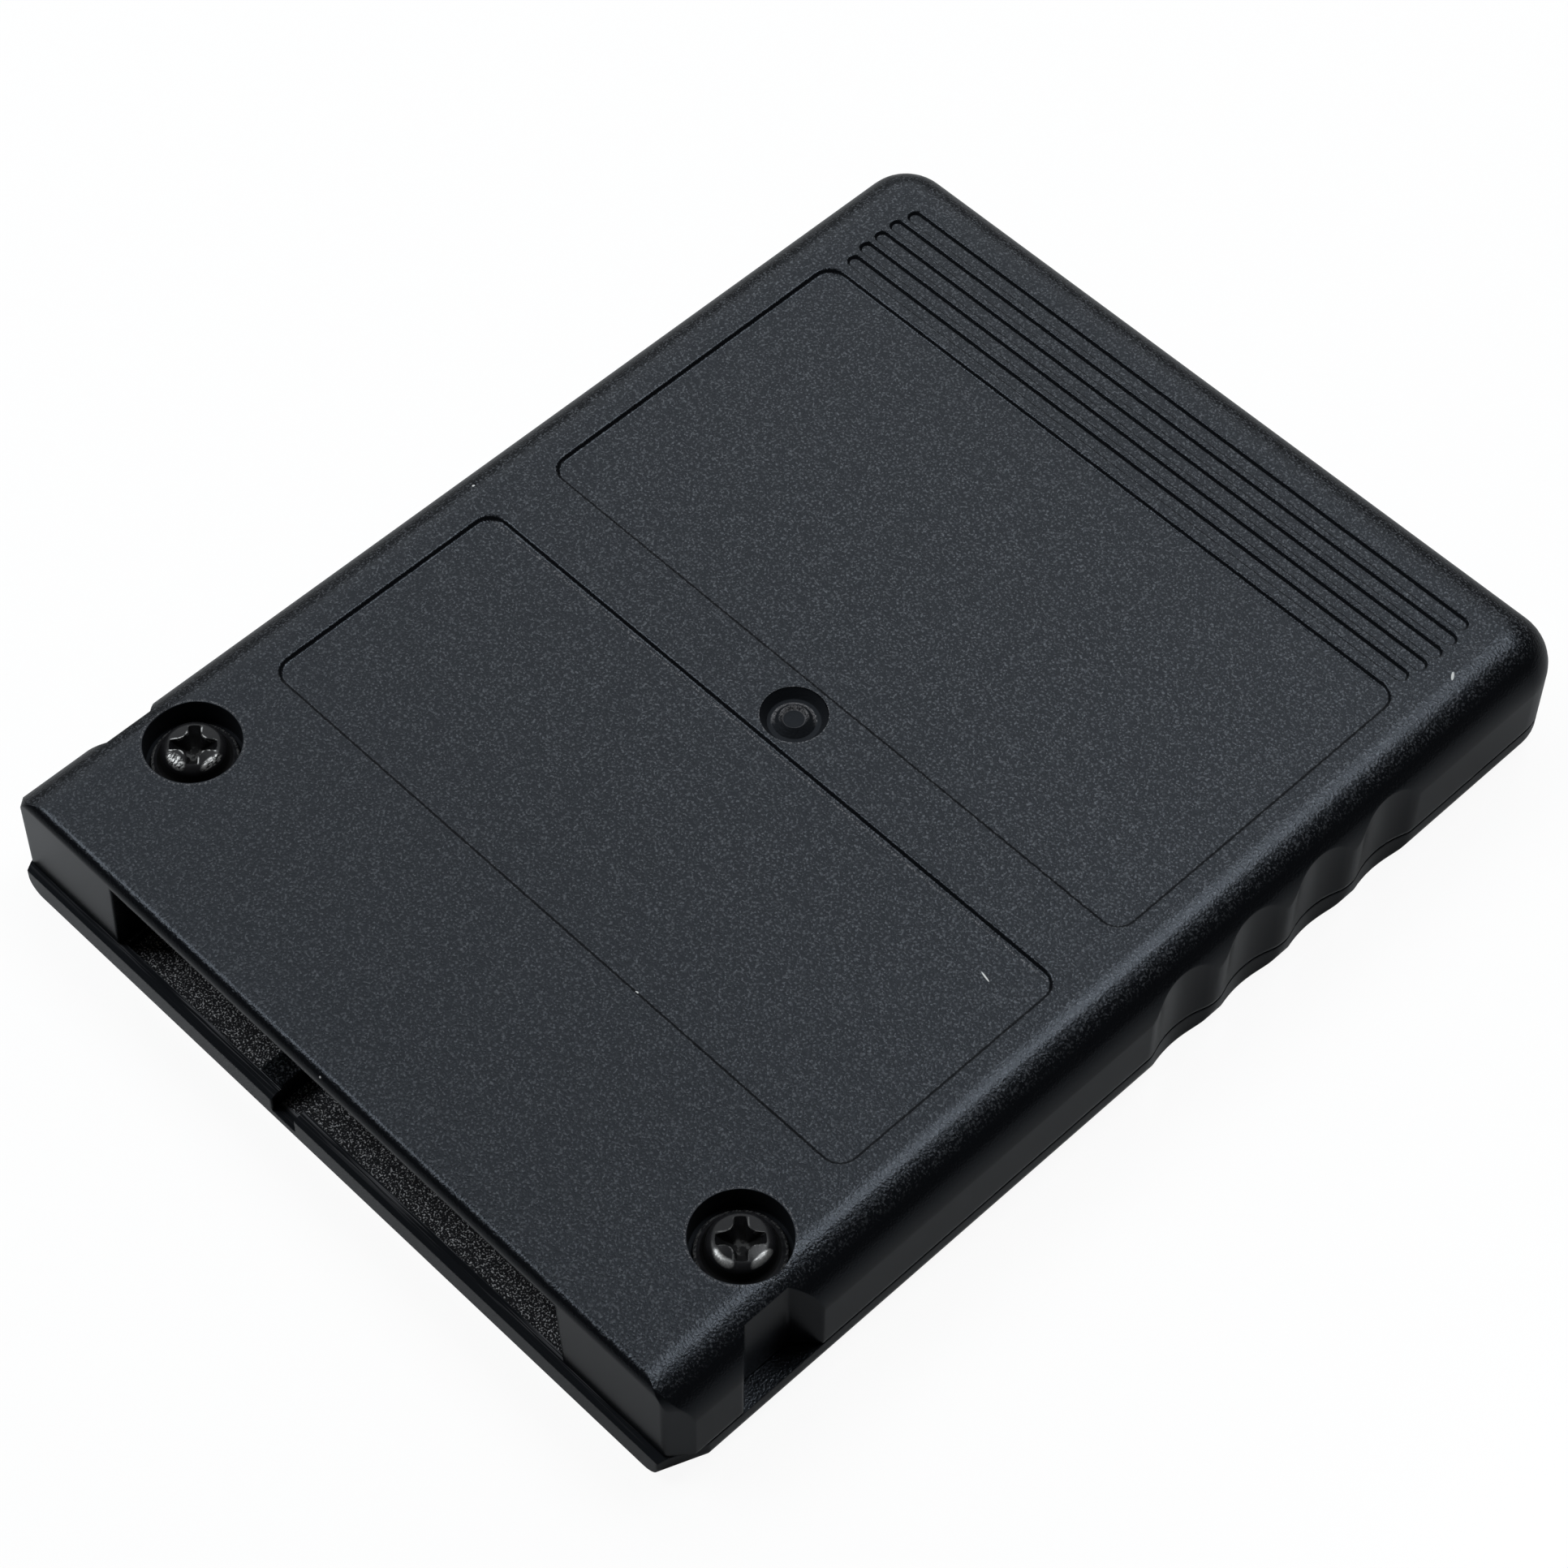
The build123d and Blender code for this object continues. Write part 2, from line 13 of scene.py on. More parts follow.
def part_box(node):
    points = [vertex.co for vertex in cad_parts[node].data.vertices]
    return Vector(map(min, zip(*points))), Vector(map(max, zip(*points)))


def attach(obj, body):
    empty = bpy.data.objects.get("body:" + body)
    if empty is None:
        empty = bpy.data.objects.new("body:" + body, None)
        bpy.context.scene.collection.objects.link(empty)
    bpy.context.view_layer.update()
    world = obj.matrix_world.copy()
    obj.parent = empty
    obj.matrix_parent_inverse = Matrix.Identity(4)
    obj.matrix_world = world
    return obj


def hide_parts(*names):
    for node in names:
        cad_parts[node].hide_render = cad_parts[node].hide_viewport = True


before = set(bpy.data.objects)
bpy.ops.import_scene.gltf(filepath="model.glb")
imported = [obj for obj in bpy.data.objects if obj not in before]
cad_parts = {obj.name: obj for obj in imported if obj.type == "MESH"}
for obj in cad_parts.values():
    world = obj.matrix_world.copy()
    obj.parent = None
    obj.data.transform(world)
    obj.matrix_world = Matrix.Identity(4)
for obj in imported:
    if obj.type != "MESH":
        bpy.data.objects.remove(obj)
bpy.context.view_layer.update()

Colour = tuple[float, float, float]
Paint = tuple[float, float, float, float]
Span = tuple[float, float]
Area = tuple[float, float, float, float]
Level = tuple[float, float, float, float]

MM = 0.001
WHITE: Colour = (1.0, 1.0, 1.0)
ROOT = "root"
log = logging.getLogger("memory_card")


class Wire:
    """A node's output that takes part in Python arithmetic."""

    def __init__(self, graph: "Graph", socket: bpy.types.NodeSocket) -> None:
        """Keeps the socket and the graph that it belongs to."""
        self.graph = graph
        self.socket = socket

    def _math(self, operation: str, first: Any, second: Any = 0.0) -> "Wire":
        """Adds one Math node with the given operation and its two values or wires."""
        return self.graph.node("ShaderNodeMath", {"operation": operation}, {0: first, 1: second})

    def __add__(self, other: Any) -> "Wire":
        """Adds."""
        return self._math("ADD", self, other)

    def __radd__(self, other: Any) -> "Wire":
        """Adds, from the right."""
        return self._math("ADD", other, self)

    def __sub__(self, other: Any) -> "Wire":
        """Subtracts."""
        return self._math("SUBTRACT", self, other)

    def __rsub__(self, other: Any) -> "Wire":
        """Subtracts, from the right."""
        return self._math("SUBTRACT", other, self)

    def __mul__(self, other: Any) -> "Wire":
        """Multiplies."""
        return self._math("MULTIPLY", self, other)

    def __rmul__(self, other: Any) -> "Wire":
        """Multiplies, from the right."""
        return self._math("MULTIPLY", other, self)

    def __truediv__(self, other: Any) -> "Wire":
        """Divides."""
        return self._math("DIVIDE", self, other)

    def __rtruediv__(self, other: Any) -> "Wire":
        """Divides, from the right."""
        return self._math("DIVIDE", other, self)

    def __pow__(self, other: Any) -> "Wire":
        """Raises to a power."""
        return self._math("POWER", self, other)

    def top(self, other: Any) -> "Wire":
        """Takes the larger of two values."""
        return self._math("MAXIMUM", self, other)

    def low(self, other: Any) -> "Wire":
        """Takes the smaller of two values."""
        return self._math("MINIMUM", self, other)

    def size(self) -> "Wire":
        """Takes the value without its sign."""
        return self._math("ABSOLUTE", self)

    def sign(self) -> "Wire":
        """Takes the value's sign."""
        return self._math("SIGN", self)

    def hypot(self, other: "Wire") -> "Wire":
        """Takes the distance that two legs at a right angle span."""
        return (self * self + other * other) ** 0.5

    def lift(self, least: float) -> "Wire":
        """Squeezes a value from 0 to 1 so that it starts at the least value."""
        return least + (1 - least) * self

    def step(self, start: float, end: float) -> "Wire":
        """Goes smoothly from 0 to 1.

        Args:
            start: The value where the result is 0.
            end: The value where the result is 1.

        Returns:
            The smoothed step, which falls where start is above end.
        """
        rising = self.graph.node(
            "ShaderNodeMapRange",
            {"interpolation_type": "SMOOTHSTEP"},
            {"Value": self, "From Min": min(start, end), "From Max": max(start, end)},
        )
        return rising if start < end else 1 - rising

    def step_mm(self, start_mm: float, end_mm: float) -> "Wire":
        """Goes smoothly from 0 to 1 between two lengths in mm."""
        return self.step(start_mm * MM, end_mm * MM)


class Graph:
    """Builds the nodes of one tree."""

    noise_turn = (0.6, 0.4, 0.3)
    noise_roughness = 0.55
    noise_middle = 0.5
    spot_edge = (0.5, 0.15)
    spot_chance = (0.35, 1.0)
    edge_samples = 6

    def __init__(self, tree: bpy.types.NodeTree) -> None:
        """Empties the tree."""
        self.tree = tree
        tree.nodes.clear()

    def node(
        self,
        kind: str,
        settings: dict[str, Any] | None = None,
        inputs: dict[Any, Any] | None = None,
        output: Any = 0,
    ) -> Wire | None:
        """Adds any node.

        Args:
            kind: The node's type.
            settings: The node's own settings.
            inputs: Values or wires for its sockets, by name or number.
            output: The output that is wanted, by name or number.

        Returns:
            The wire of that output, or None where the node has no outputs.
        """
        node = self.tree.nodes.new(kind)
        for key, value in (settings or {}).items():
            setattr(node, key, value)
        for key, value in (inputs or {}).items():
            if isinstance(value, Wire):
                self.tree.links.new(value.socket, node.inputs[key])
            else:
                node.inputs[key].default_value = value
        return Wire(self, node.outputs[output]) if len(node.outputs) else None

    def place(self) -> Wire:
        """Gives the point on the piece, in metres."""
        return self.node("ShaderNodeTexCoord", output="Object")

    def axes(self, vector: Wire) -> tuple[Wire, Wire, Wire]:
        """Splits a vector into its three axes."""
        split = self.node("ShaderNodeSeparateXYZ", inputs={0: vector})
        return tuple(Wire(self, socket) for socket in split.socket.node.outputs)

    def facing_up(self) -> Wire:
        """Tells how far the surface faces up, from -1 to 1."""
        return self.axes(self.node("ShaderNodeNewGeometry", output="Normal"))[2]

    def noise(self, size_mm: float, detail: float = 2.0, stretch: Sequence[float] = (1, 1, 1)) -> Wire:
        """Adds an even noise, turned so that it follows no axis.

        Args:
            size_mm: The size of its features.
            detail: The noise's detail.
            stretch: How much finer it is along each axis.

        Returns:
            The noise, around noise_middle.
        """
        mapped = {"Vector": self.place(), "Rotation": self.noise_turn, "Scale": tuple(stretch)}
        point = self.node("ShaderNodeMapping", inputs=mapped)
        sizes = {"Scale": 1 / (size_mm * MM), "Detail": detail, "Roughness": self.noise_roughness}
        return self.node("ShaderNodeTexNoise", inputs={"Vector": point, **sizes})

    def spots(self, size_mm: float) -> Wire:
        """Scatters round spots, some of them stronger than others.

        Args:
            size_mm: The distance from one spot to the next.

        Returns:
            0 between the spots and up to 1 in the middle of one.
        """
        inputs = {"Vector": self.place(), "Scale": 1 / (size_mm * MM)}
        near = self.node("ShaderNodeTexVoronoi", inputs=inputs, output="Distance")
        chance = self.axes(self.node("ShaderNodeTexVoronoi", inputs=inputs, output="Color"))[0]
        return near.step(*self.spot_edge) * chance.step(*self.spot_chance)

    def mix(self, factor: Any, first: Any, second: Any) -> Wire:
        """Mixes two colours, through the Mix node's colour sockets.

        Args:
            factor: The share of the second colour.
            first: The first colour or wire.
            second: The second colour or wire.

        Returns:
            The mixed colour.
        """
        inputs = {"Factor": factor, 6: first, 7: second}
        return self.node("ShaderNodeMix", {"data_type": "RGBA"}, inputs, output=2)

    def shades(self, factor: Wire, colour: Colour, gains: Span) -> Wire:
        """Mixes two shades of one colour, each with its gain."""
        return self.mix(factor, rgba(colour, gains[0]), rgba(colour, gains[1]))

    def blend(self, factor: Wire, first: Wire, second: Wire) -> Wire:
        """Mixes two vectors, through the Mix node's vector sockets.

        Args:
            factor: The share of the second vector.
            first: The first vector.
            second: The second vector.

        Returns:
            The mixed vector.
        """
        inputs = {"Factor": factor, 4: first, 5: second}
        return self.node("ShaderNodeMix", {"data_type": "VECTOR"}, inputs, output=1)

    def bump(self, height: Wire, depth_mm: float, strength: Any, normal: Wire | None = None) -> Wire:
        """Turns a height into a normal.

        Args:
            height: The height, from 0 to 1.
            depth_mm: What a height of 1 stands for.
            strength: The share of it that shows.
            normal: The normal that it is added to.

        Returns:
            The new normal.
        """
        inputs = {"Height": height, "Distance": depth_mm * MM, "Strength": strength}
        if normal is not None:
            inputs["Normal"] = normal
        return self.node("ShaderNodeBump", inputs=inputs)

    def soft_edges(self, radius_mm: float) -> Wire:
        """Gives the normal of a surface whose edges are rounded off a little."""
        return self.node("ShaderNodeBevel", {"samples": self.edge_samples}, {"Radius": radius_mm * MM})


def new_material(name: str) -> tuple[bpy.types.Material, Graph]:
    """Starts a material.

    Args:
        name: The material's name.

    Returns:
        The material and the graph of its empty tree.
    """
    material = bpy.data.materials.new(name)
    material.use_nodes = True
    return material, Graph(material.node_tree)


def close_material(graph: Graph, inputs: dict[str, Any]) -> None:
    """Ends a material's graph in a Principled shader with the given values and wires."""
    shader = graph.node("ShaderNodeBsdfPrincipled", inputs=inputs)
    graph.node("ShaderNodeOutputMaterial", inputs={"Surface": shader})


def rgba(colour: Colour, gain: float = 1.0) -> Paint:
    """Makes a colour with alpha from three values and a gain."""
    red, green, blue = (min(1.0, value * gain) for value in colour)
    return (red, green, blue, 1.0)


@dataclass(frozen=True)
class DustSpeck:
    """A pale speck or fibre that lies on the card."""

    place_mm: tuple[float, float, float]
    length_mm: float
    width_mm: float
    turn_deg: float = 0.0
    edge: Span = (1.3, 0.7)

    def mask(self, graph: Graph) -> Wire:
        """Draws the speck.

        Args:
            graph: The material's graph.

        Returns:
            1 on the speck and 0 off it.
        """
        shift = tuple(-value * MM for value in self.place_mm)
        moved = graph.node("ShaderNodeVectorMath", {"operation": "ADD"}, {0: graph.place(), 1: shift})
        turn = (0.0, 0.0, -math.radians(self.turn_deg))
        turned = graph.node("ShaderNodeMapping", inputs={"Vector": moved, "Rotation": turn})
        along, across, rise = graph.axes(turned)
        half = self.width_mm / 2 * MM
        reach = (along / (self.length_mm / 2 * MM)) ** 2 + (across / half) ** 2 + (rise / half) ** 2
        return reach.step(*self.edge)


DUST = (
    DustSpeck((-19.45, -1.77, 6.46), 0.13, 0.13),
    DustSpeck((18.70, 21.93, 6.60), 0.46, 0.13, 124.0),
    DustSpeck((15.25, -4.18, 6.42), 0.58, 0.08, -13.0),
    DustSpeck((5.66, -15.22, 6.48), 0.16, 0.16),
    DustSpeck((-0.43, -27.49, 6.45), 0.15, 0.15),
)


@dataclass(frozen=True)
class MouldedPlastic:
    """Black moulded plastic, spark-grained where it faces up and satin on its walls. Its pale dots are
    painted glints of the grain; the window floor, the lip's streaks, the gate's stub and the edges of the
    holes and the near panel get painted light as well.
    """

    name: str = "moulded_plastic"
    colour: Colour = (0.0026, 0.0031, 0.0042)
    shades: Span = (0.85, 1.2)
    # Pale colour of the painted glints, where the grain's facets would catch the light.
    glint: Colour = (0.130, 0.138, 0.150)
    # Pale colour of the painted light on the gate's stub and of the painted highlights on the edges.
    stub_and_rim_light: Colour = (0.230, 0.225, 0.230)
    # The window floor is painted paler than the plastic, as light falling on it, and the next colour is
    # its painted glints.
    lit_tray: Colour = (0.030, 0.030, 0.033)
    tray_glint: Colour = (0.85, 0.85, 0.87)
    # Pale colour of painted highlights on the lip's tool-mark streaks.
    streak_sheen: Colour = (0.17, 0.17, 0.18)
    tint: Colour = (0.80, 0.88, 1.0)
    dust: Colour = (0.80, 0.80, 0.78)
    roughness: float = 0.25
    cloud_dull: float = 0.06
    speck_dull: float = 0.4
    pit_dull: float = 0.45
    lip_dull: float = 0.6
    specular: float = 0.36
    cloud_mm: float = 5.0
    glint_mm: float = 0.2
    glint_share: float = 0.6
    grain_mm: float = 0.11
    grain_depth_mm: float = 0.022
    grain_shows: Span = (0.50, 0.76)
    wall_grain: float = 0.06
    wall_edge_mm: float = 0.22
    fine_mm: float = 0.08
    rim_shows: Span = (0.5, 0.7)
    tray_glint_shows: Span = (0.52, 0.74)
    stub_light_shows: Span = (0.3, 0.7)
    streak_mm: float = 0.1
    streak_stretch: tuple[float, float, float] = (0.02, 1.0, 1.0)
    streak_shows: Span = (0.48, 0.66)
    streak_relief: float = 0.12
    faces_up: Span = (0.15, 0.8)
    lies_flat: Span = (0.7, 0.97)
    upper_mm: Span = (2.0, 2.4)
    low_mm: Span = (1.6, 1.5)
    lip_mm: Span = (-27.25, -27.35)
    # The painted streak highlights grow brighter toward the lip's inner edge.
    lip_sheen_mm: Span = (-27.8, -27.3)
    tray_side_mm: Span = (14.2, 14.0)
    # Along the card the painted glints weaken toward the front end.
    glint_fade_mm: Span = (-27.0, 8.0)
    glint_fade_least: float = 0.65
    hole_x_mm: float = 17.12
    hole_y_mm: float = -20.29
    hole_mm: Span = (2.23, 2.2)
    hole_rim_mm: Span = (2.24, 2.32)
    panel_edge_mm: float = -2.47
    panel_line_mm: Span = (0.06, 0.02)
    panel_side_mm: Span = (17.3, 17.2)
    dimple_y_mm: float = -0.44
    dimple_mm: Span = (1.505, 1.475)
    dimple_rim_mm: Span = (1.515, 1.575)
    # The far side of the gate's stub, which is painted lit.
    lit_side_mm: Span = (-0.5, 0.4)
    stub_mm: Span = (0.84, 1.02)
    crest_mm: Span = (0.48, 0.67)
    crater_mm: Span = (0.48, 0.52)
    crater_share: float = 0.5
    soft_mm: float = 0.03

    def ring(self, reach: Wire, inner_mm: float, outer_mm: float) -> Wire:
        """Draws a ring with a soft edge, as 1 between two distances from its middle."""
        inside = reach.step_mm(outer_mm + self.soft_mm, outer_mm - self.soft_mm)
        return inside * reach.step_mm(inner_mm - self.soft_mm, inner_mm + self.soft_mm)

    def rim_glints(self, across: Wire, along: Wire, reach: Wire, hole_reach: Wire) -> Wire:
        """Draws painted highlights along the edges of the dimple and the screw holes and along the near
        panel's far edge.

        Args:
            across: The place across the card.
            along: The place along the card.
            reach: The distance from the dimple's middle.
            hole_reach: The distance from the nearer screw's axis.

        Returns:
            1 on a rim and 0 off it.
        """
        rings = self.ring(reach, *self.dimple_rim_mm).top(self.ring(hole_reach, *self.hole_rim_mm))
        line = (along - self.panel_edge_mm * MM).size().step_mm(*self.panel_line_mm)
        return rings.top(line * across.size().step_mm(*self.panel_side_mm))

    def lit_stub(self, across: Wire, away: Wire, reach: Wire, fine: Wire) -> Wire:
        """Draws painted light on the gate's stub: pale spots on the far side of its flank and crest, and
        a paler line on the crater's edge.

        Args:
            across: The distance across from the dimple's middle.
            away: The distance along from the dimple's middle.
            reach: The distance from the dimple's middle.
            fine: A fine noise.

        Returns:
            1 where the stub is painted light and 0 elsewhere.
        """
        one_side = (away - across).step_mm(*self.lit_side_mm)
        rings = self.ring(reach, *self.stub_mm).top(self.ring(reach, *self.crest_mm))
        edge = self.ring(reach, *self.crater_mm)
        return (rings * one_side * fine.step(*self.stub_light_shows)).top(edge * self.crater_share)

    def build(self) -> bpy.types.Material:
        """Makes the material.

        Returns:
            The finished material.
        """
        material, graph = new_material(self.name)
        across, along, height = graph.axes(graph.place())
        away = along - self.dimple_y_mm * MM
        reach = across.hypot(away)
        hole_reach = (across.size() - self.hole_x_mm * MM).hypot(along - self.hole_y_mm * MM)
        upper = height.step_mm(*self.upper_mm)
        pit = reach.step_mm(*self.dimple_mm).top(hole_reach.step_mm(*self.hole_mm)) * upper
        # Painted highlights along the edges of the dimple, the screw holes and the near panel.
        rim_glints = self.rim_glints(across, along, reach, hole_reach) * upper
        facing = graph.facing_up()
        up = facing.step(*self.faces_up)
        clouds = graph.noise(self.cloud_mm, detail=3.0)
        grain = graph.noise(self.grain_mm)
        fine = graph.noise(self.fine_mm, detail=1.0)
        streaks = graph.noise(self.streak_mm, stretch=self.streak_stretch)
        low = height.step_mm(*self.low_mm) * up
        lip = low * along.step_mm(*self.lip_mm)
        # The window floor, which gets painted light and painted glints.
        lit_tray = low * across.size().step_mm(*self.tray_side_mm) * (1 - lip)
        specks = DUST[0].mask(graph)
        for speck in DUST[1:]:
            specks = specks.top(speck.mask(graph))
        # Painted light: the window floor's colour is raised well above the plastic's.
        dark = graph.mix(lit_tray, graph.shades(clouds, self.colour, self.shades), rgba(self.lit_tray))
        pale = graph.mix(lit_tray, rgba(self.glint), rgba(self.tray_glint))
        pale = graph.mix(lip, graph.mix(pit.top(rim_glints), pale, rgba(self.stub_and_rim_light)), rgba(self.streak_sheen))
        # Painted glints: bright dots where the grain's facets would catch the lamps, then painted
        # highlights on the edges.
        glints = grain.step(*self.grain_shows).top(graph.spots(self.glint_mm) * self.glint_share)
        glints = glints.top(rim_glints * fine.step(*self.rim_shows))
        # Painted glints are weaker toward the front end of the card.
        glint_fade = along.step_mm(*self.glint_fade_mm).lift(self.glint_fade_least)
        sparkle = glints * glint_fade * (1 - low) * (1 - pit) + fine.step(*self.tray_glint_shows) * lit_tray
        # Painted highlights on the lip's tool-mark streaks, brighter toward its inner edge, where light
        # falls.
        wear_and_sheen = streaks.step(*self.streak_shows) * along.step_mm(*self.lip_sheen_mm)
        shown = sparkle * facing.step(*self.lies_flat) + wear_and_sheen * lip
        # Painted light on the gate's stub, lit on its far side.
        shown = shown.top(self.lit_stub(across, away, reach, fine) * upper)
        # Base colour: the dark plastic with the painted glints and painted light laid over it.
        grained = graph.mix(shown.low(1.0), dark, pale)
        relief = grain * (1 - lip) + streaks * lip * self.streak_relief
        plain = graph.node("ShaderNodeNewGeometry", output="Normal")
        soft = graph.blend(up, graph.soft_edges(self.wall_edge_mm), plain)
        cloudy = (clouds - graph.noise_middle) * self.cloud_dull
        dull = specks * self.speck_dull + pit * self.pit_dull + lip * self.lip_dull
        close_material(
            graph,
            {
                "Base Color": graph.mix(specks, grained, rgba(self.dust)),
                "Roughness": self.roughness + cloudy + dull,
                "Specular IOR Level": self.specular,
                "Specular Tint": rgba(self.tint),
                "Normal": graph.bump(relief, self.grain_depth_mm, up.lift(self.wall_grain), soft),
            },
        )
        return material


@dataclass(frozen=True)
class BlackScrew:
    """Glossy black screw, rubbed to bright metal where the driver has slipped on its crown. Its flange is
    painted paler as light, and its deep recess painted darker as shade.
    """

    name: str = "black_screw"
    black: Colour = (0.010, 0.010, 0.011)
    shades: Span = (0.7, 1.5)
    # Gain that paints the flange paler, as light falling on it in the counterbore.
    flange_painted_light: float = 5.0
    # Gain that paints the deep recess darker, as shade.
    deep_painted_shade: float = 0.2
    bare: Colour = (0.50, 0.50, 0.49)
    specular: float = 0.22
    roughness: float = 0.2
    haze_dull: float = 0.12
    wear_dull: float = 0.12
    deep_dull: float = 0.5
    relief_mm: float = 0.012
    relief_share: float = 0.4
    edge_mm: float = 0.05
    haze_mm: float = 0.3
    scratch_mm: float = 0.09
    scratch_stretch: tuple[float, float, float] = (1.0, 0.45, 1.0)
    scratch_shows: Span = (0.41, 0.62)
    centre_x_mm: float = 17.12
    centre_y_mm: float = -20.29
    left_mm: Span = (1.0, -1.0)
    crown_mm: Span = (6.14, 6.22)
    deep_mm: Span = (6.14, 6.02)
    shoulder_mm: Span = (0.98, 1.13)
    shoulder_least: float = 0.55
    recess_half_mm: float = 0.28
    recess_soft_mm: float = 0.45
    recess_reach_mm: Span = (1.11, 1.03)
    rim_out_mm: Span = (-0.09, -0.02)
    rim_in_mm: Span = (0.02, -0.01)
    rim_shows: Span = (0.42, 0.6)
    rim_least: float = 0.25
    floor_mm: Span = (5.82, 5.72)
    floor_radius_mm: Span = (0.42, 0.32)
    floor_shows: Span = (0.45, 0.6)
    floor_wear: float = 0.12
    flange_mm: Span = (1.62, 1.72)
    flange_edge_mm: Span = (1.80, 1.85)
    flange_wear: float = 0.35
    flange_wear_left: float = 0.3
    worn_front: Area = (0.1, -1.08, 0.56, 0.28)
    worn_side: Area = (1.2, 0.02, 0.19, 0.60)
    worn_shows: Span = (1.2, 0.3)

    def wear_and_sheen(self, across: Wire, along: Wire, area: Area) -> Wire:
        """Draws one area of wear.

        Args:
            across: The distance across from the screw's axis.
            along: The distance along from the screw's axis.
            area: The area's middle and its two radii, in mm.

        Returns:
            1 in its middle and 0 off it.
        """
        far_x = (across - area[0] * MM) / (area[2] * MM)
        far_y = (along - area[1] * MM) / (area[3] * MM)
        return (far_x * far_x + far_y * far_y).step(*self.worn_shows)

    def recess_edge(self, across: Wire, along: Wire) -> Wire:
        """Draws the edge of the driver's recess, whose arms lie on the diagonals.

        Args:
            across: The distance across from the screw's axis.
            along: The distance along from the screw's axis.

        Returns:
            1 beside the recess and 0 away from it.
        """
        diagonal = math.sqrt(0.5)
        corner = (self.recess_half_mm + self.recess_soft_mm) * MM
        first = (corner - ((across + along) * diagonal).size()).top(0.0)
        second = (corner - ((across - along) * diagonal).size()).top(0.0)
        inside = first.hypot(second) - self.recess_soft_mm * MM
        return inside.step_mm(*self.rim_out_mm) * inside.step_mm(*self.rim_in_mm)

    def build(self) -> bpy.types.Material:
        """Makes the material.

        Returns:
            The finished material.
        """
        material, graph = new_material(self.name)
        x, y, z = graph.axes(graph.place())
        across = x - x.sign() * (self.centre_x_mm * MM)
        along = y - self.centre_y_mm * MM
        radius = across.hypot(along)
        left = x.step_mm(*self.left_mm)
        haze = graph.noise(self.haze_mm, detail=3.0)
        scratch = graph.noise(self.scratch_mm, detail=4.0, stretch=self.scratch_stretch)
        scored = scratch.step(*self.scratch_shows)
        areas = self.wear_and_sheen(across, along, self.worn_front).top(self.wear_and_sheen(across, along, self.worn_side))
        shoulder = radius.step_mm(*self.shoulder_mm) * scored.lift(self.shoulder_least)
        rubbed = areas * (scored * left + shoulder * (1 - left))
        rim = self.recess_edge(across, along) * radius.step_mm(*self.recess_reach_mm)
        rim = rim * haze.step(*self.rim_shows) * left.lift(self.rim_least)
        flange = radius.step_mm(*self.flange_mm)
        flange_edge = radius.step_mm(*self.flange_edge_mm) * scored
        floor = radius.step_mm(*self.floor_radius_mm) * z.step_mm(*self.floor_mm)
        wear = rubbed.top(rim) * z.step_mm(*self.crown_mm)
        wear = wear.top(flange_edge * (self.flange_wear + self.flange_wear_left * left))
        wear = wear.top(floor * haze.step(*self.floor_shows) * self.floor_wear)
        deep = z.step_mm(*self.deep_mm) * (1 - flange)
        black = graph.shades(haze, self.black, self.shades)
        # Painted light: the flange is painted paler than the rest.
        plain = graph.mix(flange * haze, black, rgba(self.black, self.flange_painted_light))
        # Painted shade: the deep recess is painted darker.
        shade = graph.mix(deep, plain, rgba(self.black, self.deep_painted_shade))
        relief = haze + scratch * wear
        soft = graph.soft_edges(self.edge_mm)
        dull = haze * self.haze_dull + wear * self.wear_dull + deep * self.deep_dull
        close_material(
            graph,
            {
                "Base Color": graph.mix(wear, shade, rgba(self.bare)),
                "Metallic": wear,
                "Roughness": self.roughness + dull,
                "Specular IOR Level": self.specular,
                "Normal": graph.bump(relief, self.relief_mm, self.relief_share, soft),
            },
        )
        return material


@dataclass(frozen=True)
class SolderResist:
    """Green solder resist over glass cloth, with bare edges."""

    name: str = "solder_resist"
    green: Colour = (0.012, 0.085, 0.034)
    shades: Span = (0.8, 1.25)
    edge: Colour = (0.30, 0.27, 0.14)
    roughness: float = 0.62
    gloss: float = 0.3
    mottle_mm: float = 1.2
    mottle_dull: float = 0.1
    cloth_scale: float = 900.0
    cloth_bend: float = 1.5
    cloth_share: float = 0.4
    relief_mm: float = 0.01
    relief_share: float = 0.4
    lies_flat: Span = (0.5, 0.9)

    def build(self) -> bpy.types.Material:
        """Makes the material.

        Returns:
            The finished material.
        """
        material, graph = new_material(self.name)
        cloth = graph.node(
            "ShaderNodeTexWave",
            {"wave_type": "BANDS", "bands_direction": "DIAGONAL"},
            {"Vector": graph.place(), "Scale": self.cloth_scale, "Distortion": self.cloth_bend},
            output="Fac",
        )
        mottle = graph.noise(self.mottle_mm, detail=3.0)
        flat = graph.facing_up().size().step(*self.lies_flat)
        pattern = mottle * (1 - self.cloth_share) + cloth * self.cloth_share
        face = graph.shades(pattern, self.green, self.shades)
        close_material(
            graph,
            {
                "Base Color": graph.mix(flat, rgba(self.edge), face),
                "Roughness": self.roughness - flat * self.gloss + mottle * self.mottle_dull,
                "Normal": graph.bump(cloth, self.relief_mm, self.relief_share),
            },
        )
        return material


